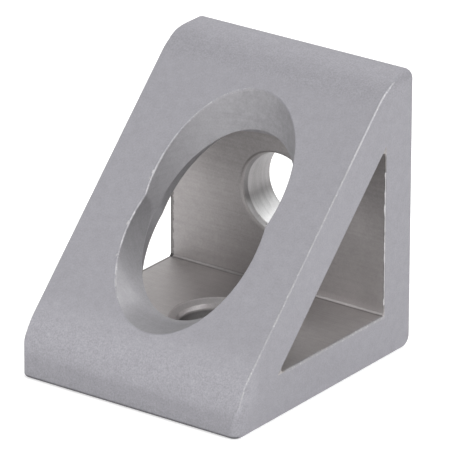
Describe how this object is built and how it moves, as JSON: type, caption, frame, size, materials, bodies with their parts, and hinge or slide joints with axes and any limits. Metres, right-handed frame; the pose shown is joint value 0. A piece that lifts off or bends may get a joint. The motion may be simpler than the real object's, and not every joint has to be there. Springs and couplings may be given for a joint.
{
  "type": "t slot corner bracket",
  "caption": "Extruded aluminium corner bracket for T slot profile: a hollow right-angle gusset with a bolt hole in each leg and an access opening through its sloping wall.",
  "frame": {"origin": "centre of the base leg's bolt hole, in the plane of the base mounting face", "axes": "+Z away from the base mounting face along the base bolt hole, +Y towards the back mounting face, +X along the extrusion"},
  "size_m": [0.0228, 0.0254, 0.0254],
  "materials": {
    "aluminium": "matt blasted"
  },
  "bodies": {
    "root": {"corner_bracket": "aluminium"}
  },
  "joints": []
}
